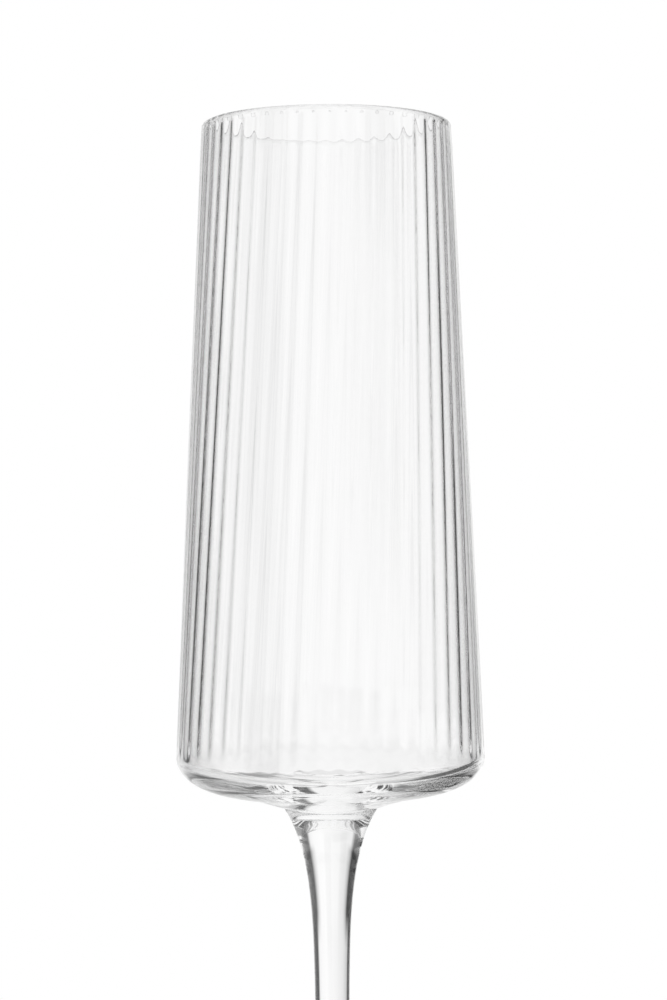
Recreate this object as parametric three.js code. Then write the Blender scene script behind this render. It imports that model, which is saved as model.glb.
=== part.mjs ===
// Ribbed champagne glass: a moulded bowl, a solid stem and a round foot, fused one on top of another.
// Millimetres, +Z up, origin at the centre of the foot's underside.
import * as THREE from 'three';

// Foot: a round disc with a half-round edge, rising to a flat seat for the stem.
const FOOT_DIAMETER = 70;
const FOOT_EDGE_THICKNESS = 2;
const FOOT_HEIGHT = 6;
const FOOT_SHOULDER_REACH = 3;
const FOOT_SHOULDER_HEIGHT = 3.4;

// Stem: a solid rod with a thin waist, flaring to the foot below and wider to the bowl above.
// A flare length is the distance in which the flare falls to about a third.
const STEM_LENGTH = 91.4;
const STEM_WAIST_DIAMETER = 6.5;
const STEM_BASE_DIAMETER = 14;
const STEM_BASE_FLARE_LENGTH = 4.5;
const STEM_HEAD_DIAMETER = 18.6;
const STEM_HEAD_FLARE_LENGTH = 9.5;

// Bowl: straight sides that lean in from the widest ring up to the rim, over a thick rounded base.
// Walls are measured in the valleys between the ribs.
const BOWL_HEIGHT = 132.6;
const BOWL_DIAMETER = 60;
const RIM_DIAMETER = 48.4;
const RIM_WALL = 1.8;
const BASE_WALL = 2;
const FLOOR_THICKNESS = 7.2;
const FILLET_REACH = 5;
const FILLET_HEIGHT = 3;
const CORNER_REACH = 10;
const CORNER_HEIGHT = 6.5;
const UNDERSIDE_RISE = 3.5;

// Ribs: shallow rounded waves round the inside wall, fading out below the rim and above the floor.
const RIB_COUNT = 48;
const RIB_DEPTH = 0.2;
const RIB_RIM_FADE = 2;
const RIB_BASE_FADE = 12;

// Facets: steps round each piece and along each curved stretch of a profile.
const STEPS_PER_RIB = 4;
const FOOT_STEPS = 64;
const STEM_STEPS = 40;
const STEM_ROWS = 26;
const CORNER_ROWS = 6;
const SHOULDER_ROWS = 8;
const EDGE_ROWS = 6;

// Heights and radii that follow from the sizes above.
const stemBase = FOOT_HEIGHT;
const bowlSeat = stemBase + STEM_LENGTH;
const rimTop = bowlSeat + BOWL_HEIGHT;
const stemBaseRadius = STEM_BASE_DIAMETER / 2;
const stemHeadRadius = STEM_HEAD_DIAMETER / 2;

const at = (radius, height) => new THREE.Vector2(radius, height);

// A lathe turns about Y; this rotation stands its axis up along Z.
const UPRIGHT = Math.PI / 2;

// Turns a profile, listed upwards along its outside, about the upright axis.
function turn(profile, steps) {
  return new THREE.LatheGeometry(profile, steps).rotateX(UPRIGHT);
}

// Half circle that rounds an edge of the given thickness, from one side to the other.
function roundedEdge(centre, thickness, from) {
  const radius = thickness / 2;
  return new THREE.EllipseCurve(centre.x, centre.y, radius, radius, from, from + Math.PI).getPoints(EDGE_ROWS);
}

function footGeometry() {
  const edgeRadius = FOOT_EDGE_THICKNESS / 2;
  const edge = roundedEdge(at(FOOT_DIAMETER / 2 - edgeRadius, edgeRadius), FOOT_EDGE_THICKNESS, -Math.PI / 2);
  const seat = at(stemBaseRadius, stemBase);
  const shoulder = at(stemBaseRadius + FOOT_SHOULDER_REACH, FOOT_SHOULDER_HEIGHT);
  const top = new THREE.QuadraticBezierCurve(edge.at(-1), shoulder, seat).getPoints(SHOULDER_ROWS);
  return turn([at(0, 0), ...edge, ...top.slice(1), at(0, stemBase)], FOOT_STEPS);
}

// The stem's radius at a height: the waist plus two flares that die away from the two ends.
function stemRadius(height) {
  const waist = STEM_WAIST_DIAMETER / 2;
  const base = (stemBaseRadius - waist) * Math.exp(-(height - stemBase) / STEM_BASE_FLARE_LENGTH);
  const head = (stemHeadRadius - waist) * Math.exp(-(bowlSeat - height) / STEM_HEAD_FLARE_LENGTH);
  return waist + base + head;
}

function stemGeometry() {
  const profile = [at(0, stemBase)];
  for (let row = 0; row <= STEM_ROWS; row += 1) {
    // Rows crowd together towards both ends, where the flares curve most.
    const share = (1 - Math.cos((Math.PI * row) / STEM_ROWS)) / 2;
    const height = stemBase + share * STEM_LENGTH;
    profile.push(at(stemRadius(height), height));
  }
  profile.push(at(0, bowlSeat));
  return turn(profile, STEM_STEPS);
}

// Outside of the bowl, from the edge of the stem's seat round the corner to its widest ring.
function bowlOutside() {
  const cornerTop = at(BOWL_DIAMETER / 2, bowlSeat + UNDERSIDE_RISE + CORNER_HEIGHT);
  const corner = new THREE.EllipseCurve(
    cornerTop.x - CORNER_REACH, cornerTop.y, CORNER_REACH, CORNER_HEIGHT, -Math.PI / 2, 0,
  ).getPoints(CORNER_ROWS);
  return [at(stemHeadRadius, bowlSeat), ...corner];
}

// Inside of the bowl, from below the rounded rim down the wall and round the fillet to the floor.
// Each row has a point of the profile and the share of the full rib depth that stands on it.
function bowlInside(rimInside) {
  const floor = bowlSeat + FLOOR_THICKNESS;
  const filletTop = at(BOWL_DIAMETER / 2 - BASE_WALL, floor + FILLET_HEIGHT);
  const fillet = new THREE.EllipseCurve(
    filletTop.x - FILLET_REACH, filletTop.y, FILLET_REACH, FILLET_HEIGHT, 0, -Math.PI / 2, true,
  ).getPoints(CORNER_ROWS);
  const wall = new THREE.LineCurve(rimInside, filletTop);
  const length = wall.getLength();
  return [
    { point: wall.getPointAt(RIB_RIM_FADE / length), ribs: 1 },
    { point: wall.getPointAt(1 - RIB_BASE_FADE / length), ribs: 1 },
    ...fillet.map((point) => ({ point, ribs: 0 })),
  ];
}

// Raises the ribs, straight in towards the axis, on the inside rows of the turned bowl.
function raiseRibs(geometry, inside, firstRow, rowCount) {
  const position = geometry.getAttribute('position');
  const steps = RIB_COUNT * STEPS_PER_RIB;
  inside.forEach(({ point, ribs }, row) => {
    for (let step = 0; step <= steps; step += 1) {
      const angle = (2 * Math.PI * step) / steps;
      const radius = point.x - (ribs * RIB_DEPTH * (1 - Math.cos(RIB_COUNT * angle))) / 2;
      position.setXYZ(step * rowCount + firstRow + row, radius * Math.sin(angle), point.y, radius * Math.cos(angle));
    }
  });
}

function bowlGeometry() {
  const rim = roundedEdge(at((RIM_DIAMETER - RIM_WALL) / 2, rimTop - RIM_WALL / 2), RIM_WALL, 0);
  const outside = [at(0, bowlSeat), ...bowlOutside(), ...rim];
  const inside = bowlInside(rim.at(-1));
  const profile = [...outside, ...inside.map((row) => row.point), at(0, bowlSeat + FLOOR_THICKNESS)];
  const geometry = new THREE.LatheGeometry(profile, RIB_COUNT * STEPS_PER_RIB);
  raiseRibs(geometry, inside, outside.length, profile.length);
  return geometry.rotateX(UPRIGHT);
}

// Clear colourless glass with a faint cool tint in its thickness.
function clearGlass() {
  return new THREE.MeshStandardMaterial({
    color: 0xe8efec, roughness: 0.02, metalness: 0, transparent: true, opacity: 0.35,
  });
}

function piece(name, geometry) {
  const mesh = new THREE.Mesh(geometry, clearGlass());
  mesh.name = name;
  return mesh;
}

const glass = new THREE.Group();
glass.name = 'champagne_glass';
glass.add(piece('foot', footGeometry()));
glass.add(piece('stem', stemGeometry()));
glass.add(piece('bowl', bowlGeometry()));

export default glass;
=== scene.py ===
# %% [markdown]
# # A ribbed champagne glass
# The glass is three pieces of clear glass fused hot: a moulded bowl with shallow ribs on its inside wall, a
# solid stem that flares up into the bowl's thick base, and a round foot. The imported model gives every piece
# its place and its outer size, so this lesson only has to make the surfaces fine enough to bend light as
# real glass does, and then to build the studio that the glass bends.

# %% Load the frame
import math

import bpy
from mathutils import Matrix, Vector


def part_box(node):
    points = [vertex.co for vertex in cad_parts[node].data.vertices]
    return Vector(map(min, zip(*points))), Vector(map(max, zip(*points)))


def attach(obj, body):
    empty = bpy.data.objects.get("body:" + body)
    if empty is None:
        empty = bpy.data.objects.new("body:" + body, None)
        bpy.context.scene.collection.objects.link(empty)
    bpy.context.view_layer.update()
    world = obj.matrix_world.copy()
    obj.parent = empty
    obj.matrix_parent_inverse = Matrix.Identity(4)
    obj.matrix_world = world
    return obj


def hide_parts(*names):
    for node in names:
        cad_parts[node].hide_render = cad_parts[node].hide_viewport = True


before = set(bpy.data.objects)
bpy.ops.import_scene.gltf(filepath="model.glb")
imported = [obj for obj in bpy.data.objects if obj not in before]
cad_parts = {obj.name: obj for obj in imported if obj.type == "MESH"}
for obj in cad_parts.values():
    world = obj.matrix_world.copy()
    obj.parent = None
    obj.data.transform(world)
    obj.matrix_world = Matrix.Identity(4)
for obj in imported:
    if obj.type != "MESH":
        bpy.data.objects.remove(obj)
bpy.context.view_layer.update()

# %% [markdown]
# ## Three small helpers
# Colours are picked as sRGB hex, as in any paint program, but shaders count light, which is linear. One
# function converts them. Another adds a shader node, sets it and links it, and a third starts an empty
# material. With these, each material reads as a short list of nodes.

# %% Colour and node helpers
def linear(hex_colour):
    channels = [int(hex_colour[i:i + 2], 16) / 255 for i in (1, 3, 5)]
    return [c / 12.92 if c <= 0.04045 else ((c + 0.055) / 1.055) ** 2.4 for c in channels] + [1.0]


def add_node(tree, kind, inputs=None, **settings):
    node = tree.nodes.new(kind)
    for name, value in settings.items():
        setattr(node, name, value)
    for name, value in (inputs or {}).items():
        if isinstance(value, bpy.types.NodeSocket):
            tree.links.new(value, node.inputs[name])
        else:
            node.inputs[name].default_value = value
    return node


def new_material(name):
    material = bpy.data.materials.new(name)
    material.use_nodes = True
    material.node_tree.nodes.clear()
    return material, material.node_tree


print("mid grey #808080 is", [round(c, 3) for c in linear("#808080")])

# %% [markdown]
# ## Clear glass
# The glass is soda-lime tableware glass. Each piece is shaped hot and then fire-polished: a flame melts its
# skin smooth, so it has no roughness that the eye could find. Its index of refraction is about 1.52. A Glass
# shader would do for the render, but one Principled shader with full transmission carries all of that and
# exports well: a near-white tint, sharp reflections at a slant, and strong bending in the base and the stem.

# %% Make the glass materials
GLASS_IOR = 1.52
GLASS_TINT = "#fefefe"


def fire_polished_glass(name):
    material, tree = new_material(name)
    glass = add_node(tree, "ShaderNodeBsdfPrincipled", {
        "Base Color": linear(GLASS_TINT), "Roughness": 0.0, "IOR": GLASS_IOR, "Transmission Weight": 1.0,
    })
    add_node(tree, "ShaderNodeOutputMaterial", {"Surface": glass.outputs["BSDF"]})
    return material


# Moulded glass: the bowl, clear and neutral, dark only where it bends the view to the sides.
bowl_glass = fire_polished_glass("moulded_soda_lime_glass")
# Drawn glass: the stem, a solid rod with a bright middle between two dark edges.
stem_glass = fire_polished_glass("drawn_soda_lime_glass")
# Pressed glass: the foot, a thin clear disc with a bright edge.
foot_glass = fire_polished_glass("pressed_soda_lime_glass")
print("three kinds of glass, index", GLASS_IOR, "tint", GLASS_TINT)

# %% [markdown]
# Where two pieces are fused there is no skin left, so light goes straight on. The three meshes could be
# joined into one, but then the pieces would be lost. Instead the discs on which they meet get a shader that
# shows nothing, which makes the three solids one body of glass for the eye.

# %% Make the fused joints
# Fused glass: no surface at all to see.
fused_joint, tree = new_material("fused_joint")
clear = add_node(tree, "ShaderNodeBsdfTransparent")
add_node(tree, "ShaderNodeOutputMaterial", {"Surface": clear.outputs["BSDF"]})
print("joints use", fused_joint.name)

# %% [markdown]
# ## Turning a profile
# All three pieces are round, so each is a profile turned about the upright axis. A Screw modifier could do
# it, but the ribs need every point of the bowl moved by itself, so one function builds the rings of points
# and the faces between them. It takes many steps round the axis, because glass shows every flat facet.

# %% The lathe
FOOT_STEPS = 192
STEM_STEPS = 128


def turn(name, rows, steps, glass, joint_rows, shape=None):
    """Turn rows of (radius, height), in metres, listed from the axis, up the outside and back to the axis.

    joint_rows names the rows whose faces are fused to the next piece. shape may move a point in or out.
    """
    points, faces, joints, rings = [], [], [], []
    for index, (radius, height) in enumerate(rows):
        count = steps if radius > 0 else 1
        rings.append(range(len(points), len(points) + count))
        for step in range(count):
            angle = 2 * math.pi * step / steps
            r = shape(index, angle, radius, height) if shape else radius
            points.append((r * math.cos(angle), r * math.sin(angle), height))
    for index, (below, above) in enumerate(zip(rings, rings[1:])):
        for step in range(steps):
            after = (step + 1) % steps
            corners = [below[step % len(below)], below[after % len(below)],
                       above[after % len(above)], above[step % len(above)]]
            # On the axis a ring is a single point, so two corners fall together and leave a triangle.
            faces.append(list(dict.fromkeys(corners)))
            joints.append(index in joint_rows)
    mesh = bpy.data.meshes.new(name)
    mesh.from_pydata(points, [], faces)
    mesh.materials.append(glass)
    mesh.materials.append(fused_joint)
    for face, joint in zip(mesh.polygons, joints):
        face.use_smooth = not joint
        face.material_index = int(joint)
    piece = bpy.data.objects.new(name, mesh)
    bpy.context.scene.collection.objects.link(piece)
    print(name, len(points), "points", len(faces), "faces")
    return piece


for steps in (FOOT_STEPS, STEM_STEPS):
    stray = 1 - math.cos(math.pi / steps)
    print(steps, "steps stray from a circle by", round(1e6 * stray), "millionths of its radius")

# %% [markdown]
# ## Drawing a profile
# A profile is a list of points, each with a radius and a height. It could be drawn by hand as a curve object,
# but functions keep each point tied to the sizes of the glass. An arc rounds an edge, a bend joins two places
# smoothly, and a line runs straight.

# %% Arcs, bends and lines
MM = 0.001


def arc(centre, radii, start, end, count):
    """count + 1 points of an elliptical arc, in degrees."""
    angles = [math.radians(start + (end - start) * i / count) for i in range(count + 1)]
    return [(centre[0] + radii[0] * math.cos(a), centre[1] + radii[1] * math.sin(a)) for a in angles]


def bend(start, control, end, count):
    """count + 1 points of a curve that leaves start and reaches end, drawn towards control."""
    shares = [i / count for i in range(count + 1)]
    return [tuple((1 - t) ** 2 * s + 2 * t * (1 - t) * c + t * t * e for s, c, e in zip(start, control, end))
            for t in shares]


def along(start, end, share):
    """The point that lies a share of the way from start to end."""
    return tuple(s + (e - s) * share for s, e in zip(start, end))


def line(start, end, count):
    """count + 1 evenly spaced points from start to end."""
    return [along(start, end, i / count) for i in range(count + 1)]


print("lengths are in metres, so a millimetre is", MM)

# %% [markdown]
# ## The foot
# The foot is pressed from a gob of glass: a flat disc with a half-round edge, which rises in a soft curve to
# the seat where the stem is fused on. A cone would be simpler, but the curve is a bend drawn towards a low
# shoulder, so that the disc stays thin nearly all the way in, as on a real foot.

# %% Turn the foot
FOOT_EDGE = 2 * MM
FOOT_SHOULDER_REACH = 3 * MM
FOOT_SHOULDER_HEIGHT = 3.4 * MM
STEM_BASE_RADIUS = 7 * MM

foot_low, foot_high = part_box("foot")
foot_radius, foot_top = foot_high[0], foot_high[2]
foot_edge_centre = (foot_radius - FOOT_EDGE / 2, FOOT_EDGE / 2)
foot_edge = arc(foot_edge_centre, (FOOT_EDGE / 2, FOOT_EDGE / 2), -90, 90, count=16)
foot_shoulder = (STEM_BASE_RADIUS + FOOT_SHOULDER_REACH, FOOT_SHOULDER_HEIGHT)
# A small ring round the axis keeps the faces of the flat underside from being long slivers.
foot_hub = (foot_radius / 8, 0)
foot_underside = line(foot_hub, foot_edge[0], count=6)
foot_upper = bend(foot_edge[-1], foot_shoulder, (STEM_BASE_RADIUS, foot_top), count=40)
foot_rows = [(0, 0), *foot_underside[:-1], *foot_edge, *foot_upper[1:], (0, foot_top)]
foot = turn("round_foot", foot_rows, FOOT_STEPS, foot_glass, joint_rows=[len(foot_rows) - 2])
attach(foot, "root")
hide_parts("foot")
print("foot", round(2 * foot_radius / MM, 1), "mm across")

# %% [markdown]
# ## The stem
# The stem is a solid rod, drawn out while hot. Its waist is thin, and both ends flare as soft glass does when
# it is pulled: quickly at first and then less and less. An arc at each end could be used, but a flare that
# falls to about a third over a fixed length, an exponential, has just that shape. Rows crowd together at the
# ends, where it curves most.

# %% Turn the stem
STEM_WAIST_RADIUS = 3.25 * MM
STEM_BASE_FLARE = 4.5 * MM
STEM_HEAD_FLARE = 9.5 * MM
STEM_ROWS = 120

stem_low, stem_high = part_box("stem")
stem_base, stem_top, stem_head_radius = stem_low[2], stem_high[2], stem_high[0]


def stem_radius(height):
    base = (STEM_BASE_RADIUS - STEM_WAIST_RADIUS) * math.exp((stem_base - height) / STEM_BASE_FLARE)
    head = (stem_head_radius - STEM_WAIST_RADIUS) * math.exp((height - stem_top) / STEM_HEAD_FLARE)
    return STEM_WAIST_RADIUS + base + head


stem_shares = [(1 - math.cos(math.pi * i / STEM_ROWS)) / 2 for i in range(STEM_ROWS + 1)]
stem_heights = [stem_base + share * (stem_top - stem_base) for share in stem_shares]
stem_rows = [(0, stem_base), *[(stem_radius(z), z) for z in stem_heights], (0, stem_top)]
stem = turn("flared_stem", stem_rows, STEM_STEPS, stem_glass, joint_rows=[0, len(stem_rows) - 2])
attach(stem, "root")
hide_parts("stem")
print("stem", round((stem_top - stem_base) / MM, 1), "mm long")

# %% [markdown]
# ## The bowl's outside
# The bowl is blown into a mould. Outside, a thick base rounds up from the stem to the widest ring, and from
# there a straight side leans in to a rim that the flame has rounded. A few points and a Bevel modifier could
# give this outline, but exact arcs keep it at its real size. Curves get many rows, because a coarse curve
# bends light in visible steps, and the straight side gets many too, because the ribs will lean along it.

# %% Draw the bowl's outside
RIM_RADIUS = 24.2 * MM
RIM_WALL = 1.8 * MM
CORNER_REACH = 10 * MM
CORNER_HEIGHT = 6.5 * MM
UNDERSIDE_RISE = 3.5 * MM

bowl_low, bowl_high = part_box("bowl")
seat, rim_top, widest = bowl_low[2], bowl_high[2], bowl_high[0]
corner_centre = (widest - CORNER_REACH, seat + UNDERSIDE_RISE + CORNER_HEIGHT)
corner = arc(corner_centre, (CORNER_REACH, CORNER_HEIGHT), -90, 0, count=20)
underside = line((stem_head_radius, seat), corner[0], count=4)
rim_centre = (RIM_RADIUS - RIM_WALL / 2, rim_top - RIM_WALL / 2)
rim = arc(rim_centre, (RIM_WALL / 2, RIM_WALL / 2), 0, 180, count=12)
flank = line(corner[-1], rim[0], count=32)
base_rows = [(0, seat), *underside[:-1], *corner]
print("bowl", round((rim_top - seat) / MM, 1), "mm tall and", round(2 * widest / MM, 1), "mm across")

# %% [markdown]
# ## The bowl's inside
# Inside, the wall runs from the rim down to a fillet that rounds it into a flat floor, so the base below is a
# thick lens of glass. A Solidify modifier could make the wall, but not this base. The ribs fade out close to
# both ends of the wall, so it has rows just where each fade begins.

# %% Draw the bowl's inside
BASE_WALL = 2 * MM
FLOOR_THICKNESS = 7.2 * MM
FILLET_REACH = 5 * MM
FILLET_HEIGHT = 3 * MM
RIB_RIM_FADE = 0.8 * MM
RIB_BASE_FADE = 4 * MM

floor_top = seat + FLOOR_THICKNESS
fillet_top = floor_top + FILLET_HEIGHT
wall_top, wall_foot = rim[-1], (widest - BASE_WALL, fillet_top)
rib_top = along(wall_top, wall_foot, RIB_RIM_FADE / (wall_top[1] - fillet_top))
rib_foot = along(wall_foot, wall_top, RIB_BASE_FADE / (wall_top[1] - fillet_top))
upper_fade = line(wall_top, rib_top, count=3)
full_ribs = line(rib_top, rib_foot, count=28)
lower_fade = line(rib_foot, wall_foot, count=3)
inside = [*upper_fade[:-1], *full_ribs[:-1], *lower_fade]
fillet = arc((wall_foot[0] - FILLET_REACH, fillet_top), (FILLET_REACH, FILLET_HEIGHT), 0, -90, count=16)
floor_hub = (fillet[-1][0] / 6, floor_top)
floor = line(fillet[-1], floor_hub, count=4)
bowl_rows = [*base_rows, *flank[1:], *rim[1:], *inside[1:], *fillet[1:], *floor[1:], (0, floor_top)]
print("bowl profile", len(bowl_rows), "rows, base", round(FLOOR_THICKNESS / MM, 1), "mm thick")

# %% [markdown]
# ## The ribs
# The ribs are shallow waves on the inside wall, 48 of them, only a fifth of a millimetre high. The hot glass
# was first blown into a ribbed mould and then into a smooth one, which pushed the waves to the inside and
# left a trace of them outside. As the glass was turned while soft, they lean a little round the bowl on their
# way down. A bump map would bend the light at the skin only and leave the mesh plain; moved points give the
# true shape.

# %% Raise the ribs and turn the bowl
RIB_COUNT = 48
RIB_DEPTH = 0.18 * MM
RIB_SWELL = 0.06 * MM
RIB_LEAN = math.radians(11)
FIRST_VALLEY = math.radians(-91.9)
STEPS_PER_RIB = 16

outer_wall = range(len(base_rows), len(base_rows) + len(flank) - 1)
inner_start = outer_wall.stop + len(rim) - 1
inner_wall = range(inner_start, inner_start + len(inside) - 1)


def ribbed(index, angle, radius, height):
    if index not in outer_wall and index not in inner_wall:
        return radius
    under_rim = (wall_top[1] - height) / RIB_RIM_FADE
    over_fillet = (height - fillet_top) / RIB_BASE_FADE
    share = max(min(under_rim, over_fillet, 1), 0)
    valley = FIRST_VALLEY - RIB_LEAN * (rim_top - height) / (rim_top - seat)
    rib = share * (1 - math.cos(RIB_COUNT * (angle - valley))) / 2
    return radius + RIB_SWELL * rib if index in outer_wall else radius - RIB_DEPTH * rib


bowl = turn("ribbed_bowl", bowl_rows, RIB_COUNT * STEPS_PER_RIB, bowl_glass, joint_rows=[0], shape=ribbed)
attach(bowl, "root")
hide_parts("bowl")
print("ribs", round(2 * math.pi * RIM_RADIUS / RIB_COUNT / MM, 2), "mm apart at the rim")

# %% [markdown]
# ## The studio
# Clear glass has no colour of its own: all that the eye reads as glass is the studio, bent. Behind this glass
# stands a white backdrop, a little duller to the left, and dark cards at both sides make the edges of the
# stem and the stripes in the ribs. The table is duller than the backdrop, which helps to draw the line round
# the bowl's floor. Lamps and real cards would do, but they are hard to place for a bent view. Here the studio
# is all in the world, as brightness by direction: one ring of cards for each height, with 0 degrees to the
# right of the glass, 90 behind it and 270 at the camera.

# %% Place the cards
CARD_EDGE = 2


def card(start, end, brightness):
    """A card from start to end, in degrees, with soft edges against the white."""
    return [(start - CARD_EDGE, 1.0), (start + CARD_EDGE, brightness),
            (end - CARD_EDGE, brightness), (end + CARD_EDGE, 1.0)]


# Stops are (degrees, brightness): the right-hand card, the backdrop, and the left-hand card.
# Well below level, where the thick base sends many of its rays.
low_ring = [(-2, 1.0), (2, 0.12), (68, 0.12), (74, 0.93), (104, 0.93), (112, 0.82), (160, 0.82), (168, 1.0)]
# A little below level, as the camera looks down on the stem.
stem_ring = [(-4, 1.0), (0, 0.05), (50, 0.05), (56, 0.85), (62, 0.95), (78, 1.0), (110, 0.86), (134, 0.6),
             (139, 0.05), (175, 0.05), (181, 1.0)]
# About level, as the camera looks at the bowl's wall.
bowl_ring = [(2, 0.85), (24, 0.04), (54, 0.04), (61, 0.64), (68, 0.98), (78, 1.0), (100, 0.94), (113, 0.8),
             (119, 0.54), (126, 0.03), (154, 0.03), (170, 0.7), (184, 1.0)]
# Above level, where the base and the rim send the rest.
high_ring = [(2, 1.0), (6, 0.12), (55, 0.12), (60, 0.85), (66, 0.97), (78, 1.0), (118, 0.84), (126, 0.2),
             (172, 0.2), (176, 1.0)]
# Smaller cards at the front shade the flare of the stem.
front_left = card(205, 231, 0.05)
front_middle = card(240, 268, 0.05)
front_right = card(308, 334, 0.05)
front_right_pale = card(308, 334, 0.25)
# Each ring starts at a height of the viewing direction, from -1 straight down to 1 straight up.
RINGS = [
    (-0.8, low_ring + front_middle + front_right_pale),
    (-0.27, stem_ring),
    (-0.14, bowl_ring + front_left),
    (0.2, high_ring + front_left + front_right),
]
print("rings", len(RINGS), "with stops", [len(stops) for _, stops in RINGS])

# %% [markdown]
# The world needs two numbers for every direction: its place round the glass and its height. A painted
# panorama would hold both, but it would be a file to load, so Math nodes work them out. A colour ramp is a
# strip with two ends, so the circle is cut open at a seam in front of the glass, where all rings are white.

# %% Find the place of each direction
SEAM = 285

world = bpy.data.worlds.new("studio")
bpy.context.scene.world = world
world.use_nodes = True
tree = world.node_tree
tree.nodes.clear()
direction = add_node(tree, "ShaderNodeTexCoord").outputs["Generated"]
axes = add_node(tree, "ShaderNodeSeparateXYZ", {"Vector": direction})
azimuth = add_node(tree, "ShaderNodeMath", {0: axes.outputs["Y"], 1: axes.outputs["X"]}, operation="ARCTAN2")
turns = add_node(tree, "ShaderNodeMath", {0: azimuth.outputs[0], 1: 1 / (2 * math.pi), 2: 2 - SEAM / 360},
                 operation="MULTIPLY_ADD")
place = add_node(tree, "ShaderNodeMath", {0: turns.outputs[0]}, operation="FRACT").outputs[0]
print("seam at", SEAM, "degrees, straight behind is at", round((90 - SEAM) % 360 / 360, 3), "of the strip")

# %% [markdown]
# One colour ramp for each ring turns the place into a brightness. Starting from the table, each ring is laid
# over everything above its own height, with a soft edge, and the last one covers the top. One ramp for the
# whole studio would be simpler, but the stem and the bowl need their cards at different places.

# %% Blend the rings
TABLE_BRIGHTNESS = 0.65
RING_EDGE = 0.03
WHITE = linear("#ffffff")


def grey(brightness):
    """Light of one brightness in all three channels."""
    return (brightness, brightness, brightness, 1)


studio = grey(TABLE_BRIGHTNESS)
for bottom, stops in RINGS:
    ring = add_node(tree, "ShaderNodeValToRGB", {"Fac": place})
    for end in ring.color_ramp.elements:
        end.color = WHITE
    for degrees, brightness in stops:
        stop = ring.color_ramp.elements.new((degrees - SEAM) % 360 / 360)
        stop.color = grey(brightness)
    rise = add_node(tree, "ShaderNodeMapRange", {
        "Value": axes.outputs["Z"], "From Min": bottom - RING_EDGE, "From Max": bottom + RING_EDGE,
    })
    # Sockets 6 and 7 of a Mix node are its two colours, and output 2 is the mixed one.
    studio = add_node(tree, "ShaderNodeMix", {
        "Factor": rise.outputs["Result"], 6: studio, 7: ring.outputs["Color"],
    }, data_type="RGBA").outputs[2]
print("table", TABLE_BRIGHTNESS, "under", len(RINGS), "rings")

# %% [markdown]
# The camera itself, and the floor that is lit, see plain white: a strength of 1. Only rays that have met the
# glass see the cards, just as a photographer keeps real ones outside the picture. A white backdrop plane
# would do as well, but it would stand in the way of the views from behind.

# %% Light the studio
path = add_node(tree, "ShaderNodeLightPath")
plain = add_node(tree, "ShaderNodeMath", {
    0: path.outputs["Is Camera Ray"], 1: path.outputs["Is Diffuse Ray"],
}, operation="MAXIMUM")
seen = add_node(tree, "ShaderNodeMix", {
    "Factor": plain.outputs[0], 6: studio, 7: WHITE,
}, data_type="RGBA")
light = add_node(tree, "ShaderNodeBackground", {"Color": seen.outputs[2], "Strength": 1.0})
add_node(tree, "ShaderNodeOutputWorld", {"Surface": light.outputs[0]})
print("world nodes", len(tree.nodes))

# %% [markdown]
# ## The floor
# The floor is white paper that catches the soft shadow round the foot and runs into the white of the backdrop
# with no edge. Plain paper alone would hide the studio's table from the glass. So rays that the glass has
# sent a long way look past it at that table. Rays that leave the foot's flat underside are short: they find
# the paper, as bright as it would be in the open, because a clear foot hardly shades it.

# %% Make the paper
PAPER_WHITE = "#f6f6f6"
SHADOW_NEAR = 60 * MM
SHADOW_FAR = 200 * MM
CONTACT = 20 * MM

# White paper: a pale ground with a soft contact shadow.
white_paper, tree = new_material("white_paper")
coords = add_node(tree, "ShaderNodeTexCoord").outputs["Object"]
distance = add_node(tree, "ShaderNodeVectorMath", {0: coords}, operation="LENGTH").outputs["Value"]
far = add_node(tree, "ShaderNodeMapRange", {
    "Value": distance, "From Min": SHADOW_NEAR, "From Max": SHADOW_FAR,
}, interpolation_type="SMOOTHSTEP").outputs["Result"]
path = add_node(tree, "ShaderNodeLightPath")
glassy = add_node(tree, "ShaderNodeMath", {
    0: path.outputs["Is Transmission Ray"], 1: path.outputs["Is Glossy Ray"],
}, operation="MAXIMUM")
bright = add_node(tree, "ShaderNodeMath", {0: far, 1: glassy.outputs[0]}, operation="MAXIMUM")
paper = add_node(tree, "ShaderNodeBsdfDiffuse", {"Color": linear(PAPER_WHITE)})
white = add_node(tree, "ShaderNodeEmission", {"Color": WHITE, "Strength": 1.0})
surface = add_node(tree, "ShaderNodeMixShader", {
    0: bright.outputs[0], 1: paper.outputs[0], 2: white.outputs[0],
})
long_ray = add_node(tree, "ShaderNodeMath", {
    0: path.outputs["Ray Length"], 1: CONTACT,
}, operation="GREATER_THAN")
past = add_node(tree, "ShaderNodeMath", {0: glassy.outputs[0], 1: long_ray.outputs[0]}, operation="MULTIPLY")
gone = add_node(tree, "ShaderNodeBsdfTransparent")
shown = add_node(tree, "ShaderNodeMixShader", {0: past.outputs[0], 1: surface.outputs[0], 2: gone.outputs[0]})
add_node(tree, "ShaderNodeOutputMaterial", {"Surface": shown.outputs[0]})
print("paper", PAPER_WHITE, "with a shadow that ends", round(SHADOW_FAR / MM), "mm out")

# %% [markdown]
# The paper is one large square. It lies a hair below the foot: two faces at the same height would fight over
# which one the light meets first.

# %% Lay the floor
FLOOR_SIZE = 4.0
FLOOR_GAP = 0.2 * MM

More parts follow.
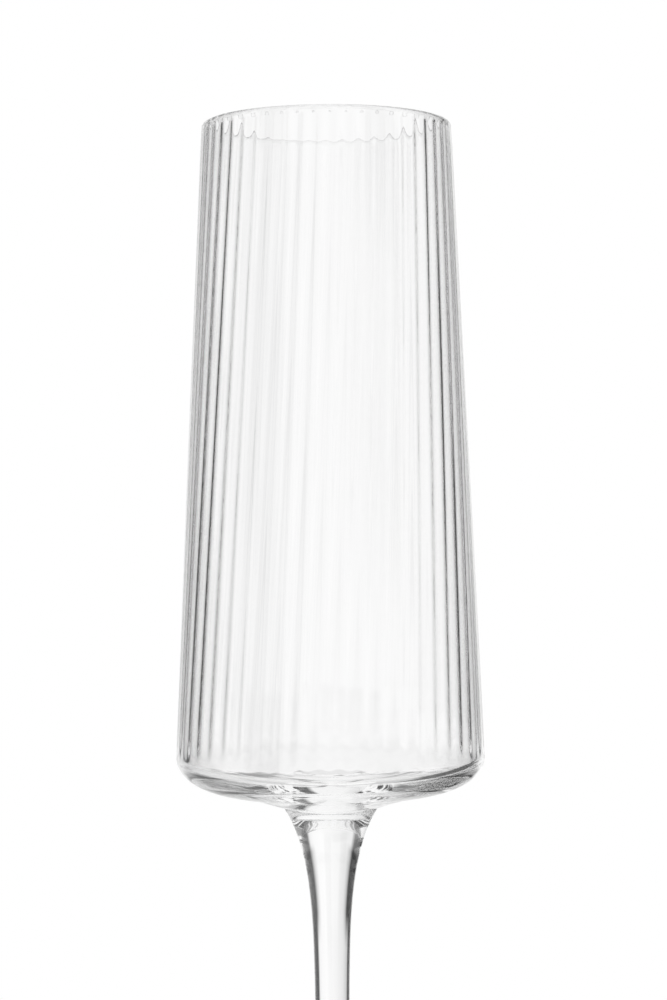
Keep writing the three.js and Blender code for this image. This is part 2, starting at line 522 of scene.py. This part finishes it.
half = FLOOR_SIZE / 2
mesh = bpy.data.meshes.new("studio_floor")
mesh.from_pydata([(-half, -half, 0), (half, -half, 0), (half, half, 0), (-half, half, 0)], [], [(0, 1, 2, 3)])
mesh.materials.append(white_paper)
studio_floor = bpy.data.objects.new("studio_floor", mesh)
studio_floor.location.z = foot_low[2] - FLOOR_GAP
bpy.context.scene.collection.objects.link(studio_floor)
print("floor", FLOOR_SIZE, "m square at", round(studio_floor.location.z, 4))

# %% [markdown]
# ## The camera
# A camera placed by eye would make the ellipses of the rim and of the bowl's floor too flat or too round, so
# the view is solved from them: a level camera about 42 cm away, with the horizon near the middle of the bowl.
# The glass stands a little to the left of the picture's middle and leans by less than half a degree, which a
# small roll of the camera gives.

# %% Set the camera
CAMERA_DISTANCE = 421 * MM
CAMERA_HEIGHT = 163.5 * MM
FOCAL_PIXELS = 2165
PHOTO_WIDTH, PHOTO_HEIGHT = 667, 1000
HORIZON_PIXEL = 467
AXIS_PIXEL = 328.9
LEAN = math.radians(0.4)

camera_data = bpy.data.cameras.new("photo_camera")
camera_data.lens = FOCAL_PIXELS / PHOTO_HEIGHT * camera_data.sensor_width
camera = bpy.data.objects.new("photo_camera", camera_data)
bpy.context.scene.collection.objects.link(camera)
pitch = math.atan((PHOTO_HEIGHT / 2 - HORIZON_PIXEL) / FOCAL_PIXELS)
side = (PHOTO_WIDTH / 2 - AXIS_PIXEL) / FOCAL_PIXELS * CAMERA_DISTANCE
camera.matrix_world = (Matrix.Translation((side, -CAMERA_DISTANCE, CAMERA_HEIGHT))
                       @ Matrix.Rotation(math.pi / 2 - pitch, 4, "X") @ Matrix.Rotation(-LEAN, 4, "Z"))
bpy.context.scene.camera = camera
bpy.context.scene.view_settings.view_transform = "Standard"
print("lens", round(camera_data.lens, 1), "mm")

# %% [markdown]
# Light goes round inside the thick base many times before it leaves, so paths through glass need far more
# bounces than Blender's usual 12, or the base turns black.

# %% Let light bounce
BOUNCES = 64
cycles = bpy.context.scene.cycles
cycles.max_bounces = BOUNCES
cycles.transmission_bounces = BOUNCES
cycles.glossy_bounces = BOUNCES
cycles.transparent_max_bounces = BOUNCES
print("bounces", BOUNCES)
